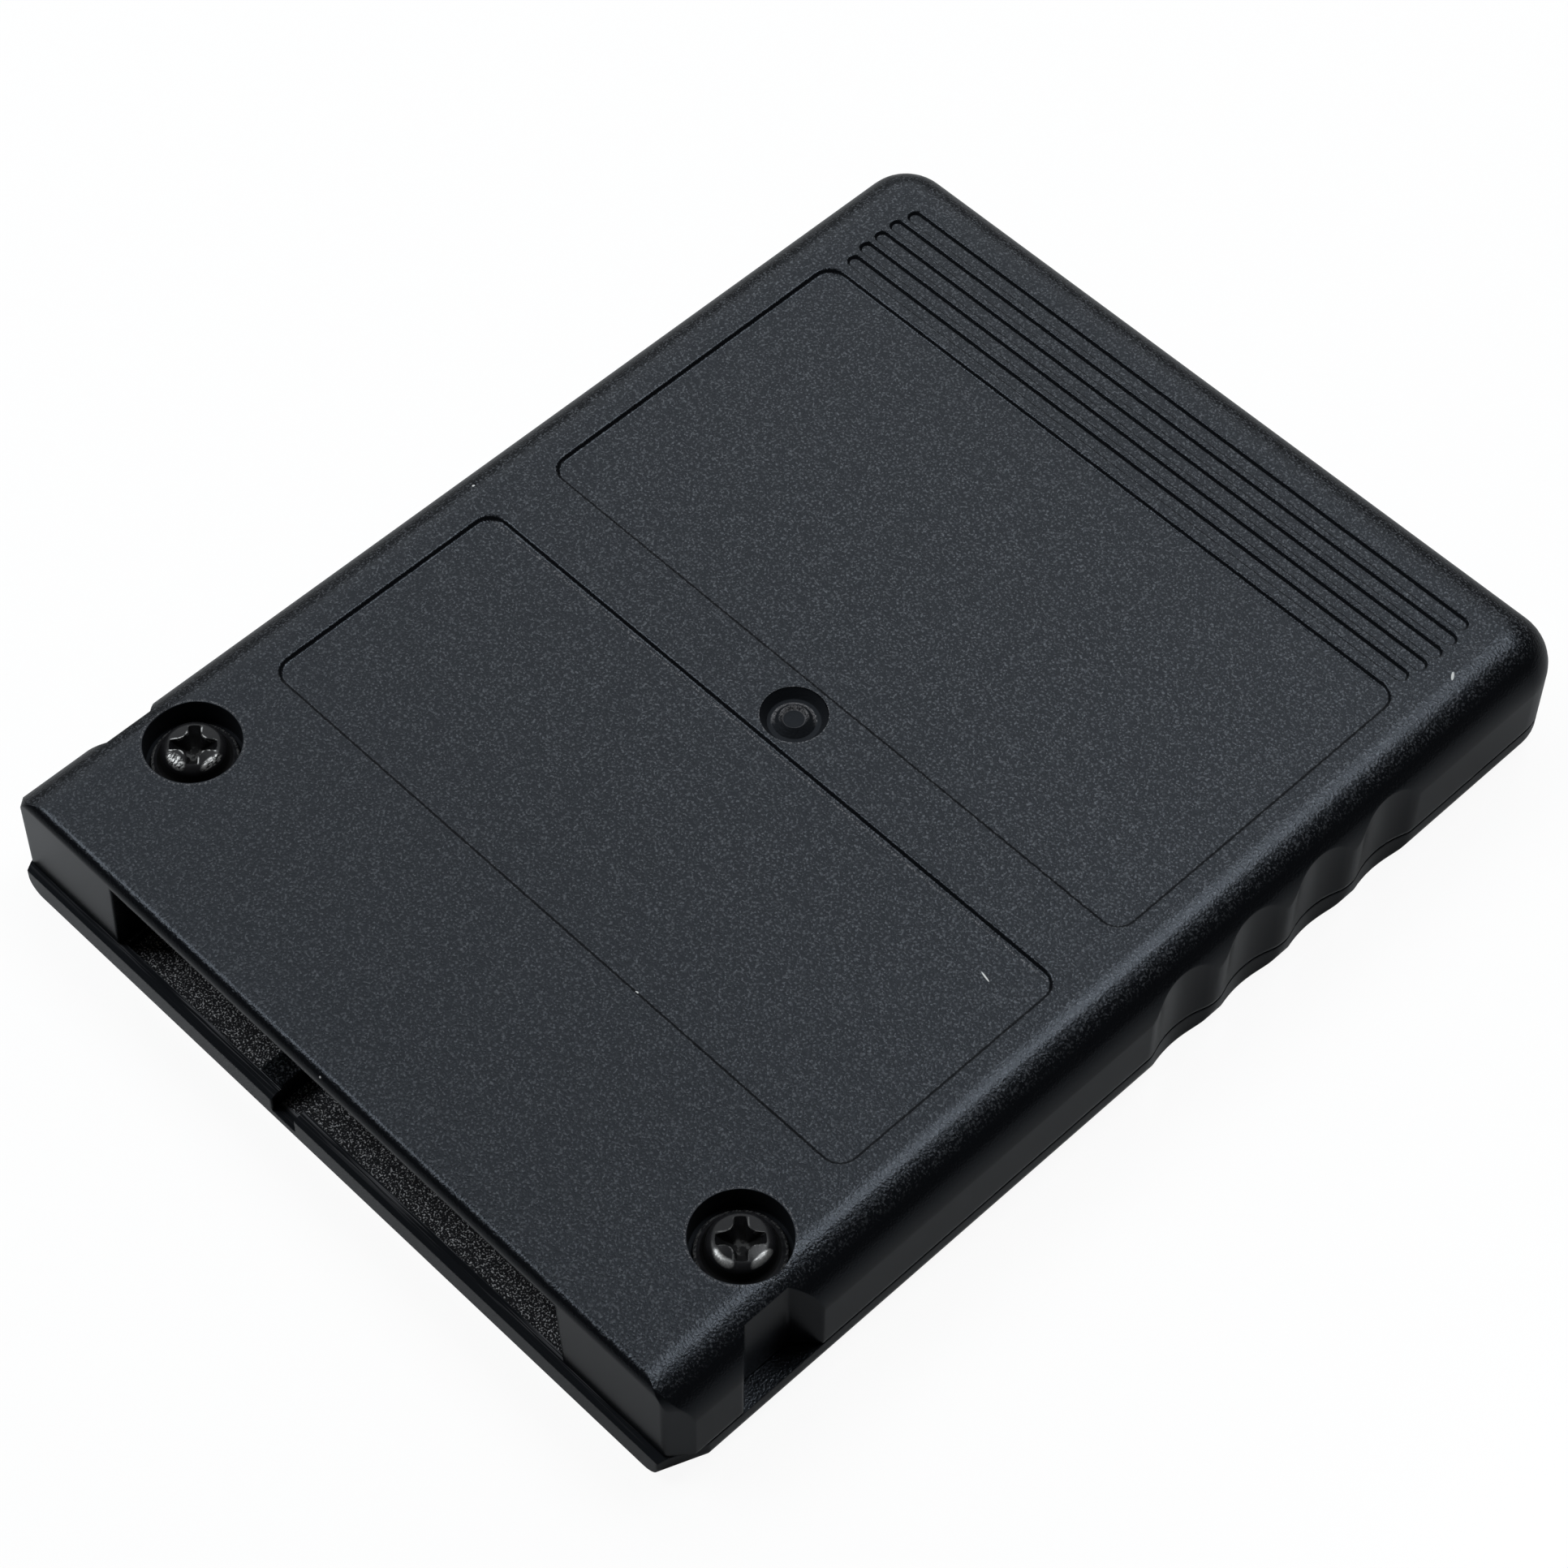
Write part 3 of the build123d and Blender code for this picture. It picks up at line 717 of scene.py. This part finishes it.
@dataclass(frozen=True)
class GoldPlate:
    """Thin gold plating with faint wipe marks along the strip."""

    name: str = "gold_plate"
    gold: Colour = (0.86, 0.60, 0.22)
    shades: Span = (0.82, 1.1)
    roughness: float = 0.2
    wipe_mm: float = 0.08
    wipe_stretch: tuple[float, float, float] = (1.0, 0.05, 1.0)
    wipe_share: float = 0.6
    wipe_dull: float = 0.22
    cloud_mm: float = 0.8
    relief_mm: float = 0.004
    relief_share: float = 0.5

    def build(self) -> bpy.types.Material:
        """Makes the material.

        Returns:
            The finished material.
        """
        material, graph = new_material(self.name)
        wipe = graph.noise(self.wipe_mm, stretch=self.wipe_stretch)
        cloud = graph.noise(self.cloud_mm, detail=3.0)
        pattern = wipe * self.wipe_share + cloud * (1 - self.wipe_share)
        close_material(
            graph,
            {
                "Base Color": graph.shades(pattern, self.gold, self.shades),
                "Metallic": 1.0,
                "Roughness": self.roughness + wipe * self.wipe_dull,
                "Normal": graph.bump(wipe, self.relief_mm, self.relief_share),
            },
        )
        return material


class Ends(Enum):
    """Where a part's bright metal is."""

    ALL_SIDES = "all_sides"
    TWO_ENDS = "two_ends"


@dataclass(frozen=True)
class TinnedPart:
    """A dull body with bright tinned leads or end caps outside it."""

    name: str
    body: Colour
    centre_mm: Span
    half_mm: Span
    ends: Ends
    roughness: float
    body_shades: Span = (0.8, 1.25)
    tin: Colour = (0.72, 0.71, 0.69)
    tin_shades: Span = (0.8, 1.1)
    tin_gloss: float = 0.22
    tin_from_mm: Span = (-0.01, 0.02)
    grain_mm: float = 0.12
    grain_dull: float = 0.2
    relief_mm: float = 0.012
    relief_share: float = 0.6

    def past(self, place: Wire, axis: int) -> Wire:
        """Tells how far a point lies outside the body along one axis."""
        return (place - self.centre_mm[axis] * MM).size() - self.half_mm[axis] * MM

    def build(self) -> bpy.types.Material:
        """Makes the material.

        Returns:
            The finished material.
        """
        material, graph = new_material(self.name)
        x, y, _ = graph.axes(graph.place())
        outside = self.past(y, 1)
        if self.ends is Ends.ALL_SIDES:
            outside = self.past(x, 0).top(outside)
        metal = outside.step_mm(*self.tin_from_mm)
        grain = graph.noise(self.grain_mm, detail=3.0)
        body = graph.shades(grain, self.body, self.body_shades)
        bright = graph.shades(grain, self.tin, self.tin_shades)
        dull = (grain - graph.noise_middle) * self.grain_dull
        close_material(
            graph,
            {
                "Base Color": graph.mix(metal, body, bright),
                "Metallic": metal,
                "Roughness": self.roughness - metal * self.tin_gloss + dull,
                "Normal": graph.bump(grain, self.relief_mm, self.relief_share),
            },
        )
        return material


@dataclass(frozen=True)
class BrightCan:
    """Drawn metal can with fine lines along its length."""

    name: str = "bright_can"
    metal: Colour = (0.70, 0.70, 0.71)
    shades: Span = (0.85, 1.1)
    roughness: float = 0.24
    line_mm: float = 0.05
    line_stretch: tuple[float, float, float] = (0.05, 1.0, 1.0)
    line_dull: float = 0.2
    relief_mm: float = 0.004
    relief_share: float = 0.6
    edge_mm: float = 0.08

    def build(self) -> bpy.types.Material:
        """Makes the material.

        Returns:
            The finished material.
        """
        material, graph = new_material(self.name)
        lines = graph.noise(self.line_mm, stretch=self.line_stretch)
        soft = graph.soft_edges(self.edge_mm)
        close_material(
            graph,
            {
                "Base Color": graph.shades(lines, self.metal, self.shades),
                "Metallic": 1.0,
                "Roughness": self.roughness + lines * self.line_dull,
                "Normal": graph.bump(lines, self.relief_mm, self.relief_share, soft),
            },
        )
        return material


def dress(nodes: Sequence[str], material: bpy.types.Material) -> None:
    """Gives CAD nodes their material.

    Args:
        nodes: The nodes' names.
        material: What they are dressed in.
    """
    for name in nodes:
        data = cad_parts[name].data
        if not data.materials:
            data.materials.append(material)
        for slot in range(len(data.materials)):
            data.materials[slot] = material
        log.info("dressed %s in %s", name, material.name)


@dataclass
class Covers:
    """The two covers of the case."""

    nodes: tuple[str, ...] = ("back_cover", "front_cover")
    finish: MouldedPlastic = MouldedPlastic()

    def build(self) -> None:
        """Dresses the covers."""
        dress(self.nodes, self.finish.build())


class Rule:
    """A Geometry Nodes tree with named sizes that makes one plain mesh."""

    def __init__(self, name: str, sizes: dict[str, float]) -> None:
        """Starts the tree.

        Args:
            name: The tree's name.
            sizes: Its named sizes.
        """
        self.tree = bpy.data.node_groups.new(name, "GeometryNodeTree")
        self.tree.is_modifier = True
        face = self.tree.interface
        face.new_socket("Shape", in_out="INPUT", socket_type="NodeSocketGeometry")
        self.sizes = sizes
        self.keys: dict[str, str] = {}
        for label in sizes:
            socket = face.new_socket(label, in_out="INPUT", socket_type="NodeSocketFloat")
            self.keys[label] = socket.identifier
        face.new_socket("Made", in_out="OUTPUT", socket_type="NodeSocketGeometry")
        self.graph = Graph(self.tree)
        source = self.tree.nodes.new("NodeGroupInput")
        self.shape = Wire(self.graph, source.outputs["Shape"])
        self.inputs = {label: Wire(self.graph, source.outputs[label]) for label in sizes}

    def finish(self, instances: Wire, material: bpy.types.Material) -> None:
        """Ends the tree in Realize Instances and Set Material.

        Args:
            instances: What the tree has placed.
            material: What it is dressed in.
        """
        real = self.graph.node("GeometryNodeRealizeInstances", inputs={0: instances})
        done = self.graph.node("GeometryNodeSetMaterial", inputs={"Geometry": real, "Material": material})
        self.graph.node("NodeGroupOutput", inputs={"Made": done})

    def run(self, name: str, mesh: bpy.types.Mesh) -> bpy.types.Object:
        """Runs the tree on a mesh.

        Args:
            name: The finished piece's name.
            mesh: The shape that the tree repeats.

        Returns:
            The finished piece, a plain mesh at the origin.
        """
        piece = bpy.data.objects.new(name, mesh)
        bpy.context.collection.objects.link(piece)
        modifier = piece.modifiers.new(name, "NODES")
        modifier.node_group = self.tree
        for label, value in self.sizes.items():
            modifier[self.keys[label]] = value
        made = piece.evaluated_get(bpy.context.evaluated_depsgraph_get())
        result = bpy.data.meshes.new_from_object(made)
        piece.modifiers.remove(modifier)
        piece.data = result
        result.name = name
        return piece


@dataclass
class CaseScrews:
    """The two screws, with domed crowns and cross recesses.

    Each point of a curve is how far out and up it lies from the edge that the curve rounds off. Each
    level of the recess is its height over the crown's top, then its shares of the recess's span, width
    and corner radius.
    """

    place_x_mm: float = 17.12
    place_y_mm: float = -20.29
    seat_mm: float = 5.1
    tip_mm: float = 1.32
    top_mm: float = 6.5
    shank_mm: float = 0.98
    rim_radius_mm: float = 1.95
    rim_mm: float = 0.3
    rim_edge_mm: float = 0.03
    rim_curve_mm: tuple[Span, ...] = ((0.0, -0.06), (-0.02, -0.02), (-0.06, 0.0))
    neck_mm: float = 0.45
    neck_curve_mm: tuple[Span, ...] = ((0.12, -0.03), (0.06, 0.02), (0.04, 0.1))
    crown_mm: float = 1.46
    crown_rise_mm: float = 0.2
    crown_round_mm: float = 0.45
    round_steps: int = 8
    dome_steps: int = 10
    recess_span_mm: float = 2.06
    recess_width_mm: float = 0.56
    recess_soft_mm: float = 0.45
    recess_levels: tuple[Level, ...] = (
        (0.3, 1.1, 1.06, 1.0),
        (-0.1, 1.0, 1.0, 1.0),
        (-0.35, 0.84, 0.95, 0.75),
        (-0.6, 0.62, 0.85, 0.4),
        (-0.8, 0.32, 0.6, 0.15),
    )
    arm_flat: float = 0.8
    arm_bulge_mm: float = 0.03
    arm_round_mm: float = 0.06
    corner_steps: int = 6
    turn_deg: float = 45.0
    turn_step_deg: float = 2.0
    sharp_deg: float = 38.0
    segments: int = 96

    def profile(self) -> list[Span]:
        """Draws half of the screw's outline.

        Returns:
            Radius and height, in mm, from the tip up to the crown's middle.
        """
        line = [
            (0.0, self.tip_mm),
            (self.shank_mm / 2, self.tip_mm),
            (self.shank_mm, self.tip_mm + self.shank_mm / 2),
            (self.shank_mm, self.seat_mm),
            (self.rim_radius_mm - self.rim_edge_mm, self.seat_mm),
            (self.rim_radius_mm, self.seat_mm + self.rim_edge_mm),
        ]
        for out, up in self.rim_curve_mm:
            line.append((self.rim_radius_mm + out, self.seat_mm + self.rim_mm + up))
        for out, up in self.neck_curve_mm:
            line.append((self.crown_mm + out, self.seat_mm + self.neck_mm + up))
        arc = (self.crown_mm**2 + self.crown_rise_mm**2) / (2 * self.crown_rise_mm)
        lean = math.asin((self.crown_mm - self.crown_round_mm) / (arc - self.crown_round_mm))
        centre = self.top_mm - arc + (arc - self.crown_round_mm) * math.cos(lean)
        for step in range(self.round_steps + 1):
            turn = math.pi / 2 - (math.pi / 2 - lean) * step / self.round_steps
            radius = self.crown_mm - self.crown_round_mm * (1 - math.sin(turn))
            line.append((radius, centre + self.crown_round_mm * math.cos(turn)))
        for step in range(1, self.dome_steps + 1):
            turn = lean * (1 - step / self.dome_steps)
            line.append((arc * math.sin(turn), self.top_mm - arc * (1 - math.cos(turn))))
        return line

    def body(self) -> bpy.types.Mesh:
        """Turns the outline into a closed mesh.

        Returns:
            One screw without its recess.
        """
        shape = bmesh.new()
        on_axis = 1e-6
        turns = [2 * math.pi * index / self.segments for index in range(self.segments)]
        rings: list[list[bmesh.types.BMVert]] = []
        for radius, height in self.profile():
            around = turns if radius > on_axis else [0.0]
            points = [(radius * math.cos(turn), radius * math.sin(turn)) for turn in around]
            rings.append([shape.verts.new((x * MM, y * MM, height * MM)) for x, y in points])
        for lower, upper in zip(rings, rings[1:]):
            for index in range(self.segments):
                after = (index + 1) % self.segments
                corners = [lower[index % len(lower)], lower[after % len(lower)]]
                corners += [upper[after % len(upper)], upper[index % len(upper)]]
                shape.faces.new(list(dict.fromkeys(corners)))
        return self.finished(shape, "screw_body")

    def cross(self, span: float, width: float, soft: float) -> list[Span]:
        """Draws a cross with round inner corners.

        Args:
            span: The cross's length over two arms.
            width: An arm's width.
            soft: The radius of its inner corners.

        Returns:
            The outline's points, in mm.
        """
        half, arm = width / 2, span / 2
        flat = half * self.arm_flat
        tip, side_start = arm + self.arm_bulge_mm, arm - self.arm_round_mm
        quarter = [(arm, -flat), (tip, 0.0), (arm, flat), (side_start, half)]
        for step in range(self.corner_steps + 1):
            turn = math.radians(270 - 90 * step / self.corner_steps)
            quarter.append((half + soft * (1 + math.cos(turn)), half + soft * (1 + math.sin(turn))))
        points = []
        for side in range(4):
            cos, sin = math.cos(math.radians(90 * side)), math.sin(math.radians(90 * side))
            points += [(x * cos - y * sin, x * sin + y * cos) for x, y in quarter]
        return points

    def recess(self) -> bpy.types.Mesh:
        """Builds the solid that the driver's recess takes out of the crown.

        Returns:
            The closed mesh of that solid.
        """
        shape = bmesh.new()
        rings = []
        for rise, long, wide, soft in self.recess_levels:
            ring = self.cross(
                self.recess_span_mm * long, self.recess_width_mm * wide, self.recess_soft_mm * soft
            )
            height = self.top_mm + rise
            rings.append([shape.verts.new((x * MM, y * MM, height * MM)) for x, y in ring])
        for upper, lower in zip(rings, rings[1:]):
            for index in range(len(upper)):
                after = (index + 1) % len(upper)
                shape.faces.new((upper[index], upper[after], lower[after], lower[index]))
        shape.faces.new(rings[0])
        shape.faces.new(list(reversed(rings[-1])))
        return self.finished(shape, "screw_recess")

    def finished(self, shape: bmesh.types.BMesh, name: str) -> bpy.types.Mesh:
        """Turns a shape's faces outward and frees it.

        Args:
            shape: The shape.
            name: The mesh's name.

        Returns:
            The shape's mesh.
        """
        bmesh.ops.recalc_face_normals(shape, faces=shape.faces)
        mesh = bpy.data.meshes.new(name)
        shape.to_mesh(mesh)
        shape.free()
        return mesh

    def one(self) -> bpy.types.Mesh:
        """Cuts the recess out of one screw.

        Returns:
            The screw's mesh, on the axis.
        """
        screw = bpy.data.objects.new("screw", self.body())
        cutter = bpy.data.objects.new("cutter", self.recess())
        for item in (screw, cutter):
            bpy.context.collection.objects.link(item)
        cut = screw.modifiers.new("recess", "BOOLEAN")
        cut.operation = "DIFFERENCE"
        cut.solver = "EXACT"
        cut.object = cutter
        made = screw.evaluated_get(bpy.context.evaluated_depsgraph_get())
        mesh = bpy.data.meshes.new_from_object(made)
        bpy.data.objects.remove(cutter)
        bpy.data.objects.remove(screw)
        mesh.shade_smooth()
        mesh.set_sharp_from_angle(angle=math.radians(self.sharp_deg))
        return mesh

    def build(self) -> None:
        """Places both screws and lets them stand for the CAD screws."""
        sizes = {
            "Place X": self.place_x_mm * MM,
            "Place Y": self.place_y_mm * MM,
            "Turn": math.radians(self.turn_deg),
            "Turn step": math.radians(self.turn_step_deg),
        }
        rule = Rule("screw_pair", sizes)
        graph = rule.graph
        across, along = rule.inputs["Place X"], rule.inputs["Place Y"]
        start = graph.node("ShaderNodeCombineXYZ", inputs={"X": across * -1, "Y": along})
        stride = graph.node("ShaderNodeCombineXYZ", inputs={"X": across * 2})
        points = graph.node(
            "GeometryNodeMeshLine", inputs={"Count": 2, "Start Location": start, "Offset": stride}
        )
        index = graph.node("GeometryNodeInputIndex")
        angle = rule.inputs["Turn"] + rule.inputs["Turn step"] * index
        turn = graph.node("ShaderNodeCombineXYZ", inputs={"Z": angle})
        placed = graph.node(
            "GeometryNodeInstanceOnPoints",
            inputs={"Points": points, "Instance": rule.shape, "Rotation": turn},
        )
        rule.finish(placed, BlackScrew().build())
        piece = rule.run("cross_screws", self.one())
        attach(piece, ROOT)
        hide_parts("case_screws")
        log.info("built %s", piece.name)


@dataclass
class BoardParts:
    """The circuit board, its contacts and the parts on its underside."""

    contacts: int = 8
    small_parts: int = 4
    epoxy: Colour = (0.022, 0.022, 0.024)
    epoxy_roughness: float = 0.55
    ceramic: Colour = (0.36, 0.24, 0.14)
    ceramic_roughness: float = 0.5
    film: Colour = (0.02, 0.021, 0.023)
    film_roughness: float = 0.35
    lead_mm: float = 0.85
    capacitor_cap_mm: float = 0.4
    resistor_cap_mm: float = 0.32

    def part(self, node: str, body: Colour, roughness: float, metal_mm: float, ends: Ends) -> None:
        """Dresses a part that has tinned leads or end caps.

        Args:
            node: The part's node.
            body: The body's colour.
            roughness: The body's roughness.
            metal_mm: How far the metal reaches in from the node's box.
            ends: Where the metal is.
        """
        low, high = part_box(node)
        middle = tuple((low[axis] + high[axis]) / 2 / MM for axis in (0, 1))
        half = tuple((high[axis] - low[axis]) / 2 / MM - metal_mm for axis in (0, 1))
        dress([node], TinnedPart(f"{node}_finish", body, middle, half, ends, roughness).build())

    def build(self) -> None:
        """Dresses the board and everything on it."""
        dress(["circuit_board"], SolderResist().build())
        dress([f"contact_{number}" for number in range(1, self.contacts + 1)], GoldPlate().build())
        epoxy = (self.epoxy, self.epoxy_roughness, self.lead_mm)
        self.part("flash_chip", *epoxy, Ends.TWO_ENDS)
        self.part("controller_chip", *epoxy, Ends.ALL_SIDES)
        self.part("regulator", *epoxy, Ends.TWO_ENDS)
        ceramic = (self.ceramic, self.ceramic_roughness, self.capacitor_cap_mm)
        film = (self.film, self.film_roughness, self.resistor_cap_mm)
        for number in range(1, self.small_parts + 1):
            self.part(f"capacitor_{number}", *ceramic, Ends.TWO_ENDS)
            self.part(f"resistor_{number}", *film, Ends.TWO_ENDS)
        dress(["resonator"], BrightCan().build())


@dataclass(frozen=True)
class SoftLamp:
    """A soft box that looks at the middle of the card."""

    name: str
    azimuth_deg: float
    elevation_deg: float
    radiance: float
    width_m: float
    height_m: float
    distance_m: float = 0.8
    colour: Colour = (0.93, 0.97, 1.0)

    def build(self) -> None:
        """Hangs the lamp."""
        data = bpy.data.lights.new(self.name, "AREA")
        data.shape = "RECTANGLE"
        data.size = self.width_m
        data.size_y = self.height_m
        data.energy = math.pi * self.width_m * self.height_m * self.radiance
        data.color = self.colour
        lamp = bpy.data.objects.new(self.name, data)
        turn = math.radians(self.azimuth_deg)
        rise = math.radians(self.elevation_deg)
        way = Vector((math.sin(turn) * math.cos(rise), math.cos(turn) * math.cos(rise), math.sin(rise)))
        lamp.location = way * self.distance_m
        lamp.rotation_euler = way.to_track_quat("Z", "Y").to_euler()
        lamp.visible_camera = False
        bpy.context.collection.objects.link(lamp)


@dataclass
class Studio:
    """The floor, the lamps and the camera."""

    azimuth_deg: float = 44.7540746
    elevation_deg: float = 54.4260536
    roll_deg: float = 0.968866547
    location_mm: tuple[float, float, float] = (78.762846, -80.43346, 158.311419)
    lens_mm: float = 99.018
    sensor_mm: float = 36.0
    near_m: float = 0.01
    floor_m: float = 6.0
    floor_drop_mm: float = 0.02
    floor_shades: Span = (0.40, 0.44)
    floor_roughness: float = 0.22
    paper_mm: float = 0.9
    seen_white: float = 0.8
    white_strength: float = 1.16
    glossy_share: float = 0.03
    surround: float = 0.03
    lamps: list[SoftLamp] = field(
        default_factory=lambda: [
            SoftLamp("overhead_back", 9, 66, 7.2, 0.28, 0.28),
            SoftLamp("back_left_fill", -52, 43, 1.12, 0.9, 0.70),
            SoftLamp("front_left", -120, 52, 5.6, 0.34, 0.34),
        ]
    )

    def camera(self) -> None:
        """Places the camera at the photograph's viewpoint."""
        angles = (self.azimuth_deg, self.elevation_deg, self.roll_deg)
        turn, rise, roll = (math.radians(angle) for angle in angles)
        back = Vector((math.sin(turn) * math.cos(rise), -math.cos(turn) * math.cos(rise), math.sin(rise)))
        right = Vector((0, 0, 1)).cross(back).normalized()
        up = back.cross(right)
        right, up = (
            right * math.cos(roll) + up * math.sin(roll),
            up * math.cos(roll) - right * math.sin(roll),
        )
        data = bpy.data.cameras.new("camera")
        data.lens = self.lens_mm
        data.sensor_fit = "HORIZONTAL"
        data.sensor_width = self.sensor_mm
        data.clip_start = self.near_m
        camera = bpy.data.objects.new("camera", data)
        turned = Matrix((right, up, back)).transposed().to_4x4()
        camera.matrix_world = Matrix.Translation(Vector(self.location_mm) * MM) @ turned
        bpy.context.collection.objects.link(camera)
        bpy.context.scene.camera = camera

    def seen(self, graph: Graph) -> Wire:
        """Tells which rays see the plain white background.

        Args:
            graph: The graph of the floor or of the surround.

        Returns:
            1 for what the camera sees straight or through glass, and a little in reflections.
        """
        camera, glass, glossy = (
            graph.node("ShaderNodeLightPath", output=f"Is {kind} Ray")
            for kind in ("Camera", "Transmission", "Glossy")
        )
        return camera.top(glass).top(glossy * self.glossy_share)

    def floor(self) -> None:
        """Lays the pale floor."""
        half = self.floor_m / 2
        drop = -self.floor_drop_mm * MM
        mesh = bpy.data.meshes.new("floor")
        corners = [(-half, -half, drop), (half, -half, drop), (half, half, drop), (-half, half, drop)]
        mesh.from_pydata(corners, [], [(0, 1, 2, 3)])
        floor = bpy.data.objects.new("floor", mesh)
        bpy.context.collection.objects.link(floor)
        material, graph = new_material("pale_floor")
        shade = graph.shades(graph.noise(self.paper_mm, detail=3.0), WHITE, self.floor_shades)
        pale = graph.node(
            "ShaderNodeBsdfPrincipled", inputs={"Base Color": shade, "Roughness": self.floor_roughness}
        )
        white = graph.node("ShaderNodeEmission", inputs={"Strength": self.white_strength})
        share = self.seen(graph) * self.seen_white
        both = graph.node("ShaderNodeMixShader", inputs={0: share, 1: pale, 2: white})
        graph.node("ShaderNodeOutputMaterial", inputs={"Surface": both})
        mesh.materials.append(material)

    def world(self) -> None:
        """Sets a dim even surround that the camera sees as white."""
        world = bpy.data.worlds.new("surround")
        bpy.context.scene.world = world
        world.use_nodes = True
        graph = Graph(world.node_tree)
        strength = self.seen(graph).lift(self.surround)
        light = graph.node("ShaderNodeBackground", inputs={"Color": rgba(WHITE), "Strength": strength})
        graph.node("ShaderNodeOutputWorld", inputs={"Surface": light})

    def build(self) -> None:
        """Sets up everything around the card."""
        self.camera()
        self.floor()
        self.world()
        for lamp in self.lamps:
            lamp.build()
        bpy.context.scene.view_settings.view_transform = "Standard"


def main() -> None:
    """Builds the scene in order."""
    logging.basicConfig(level=logging.INFO)
    Covers().build()
    CaseScrews().build()
    BoardParts().build()
    Studio().build()


if __name__ == "__main__":
    main()
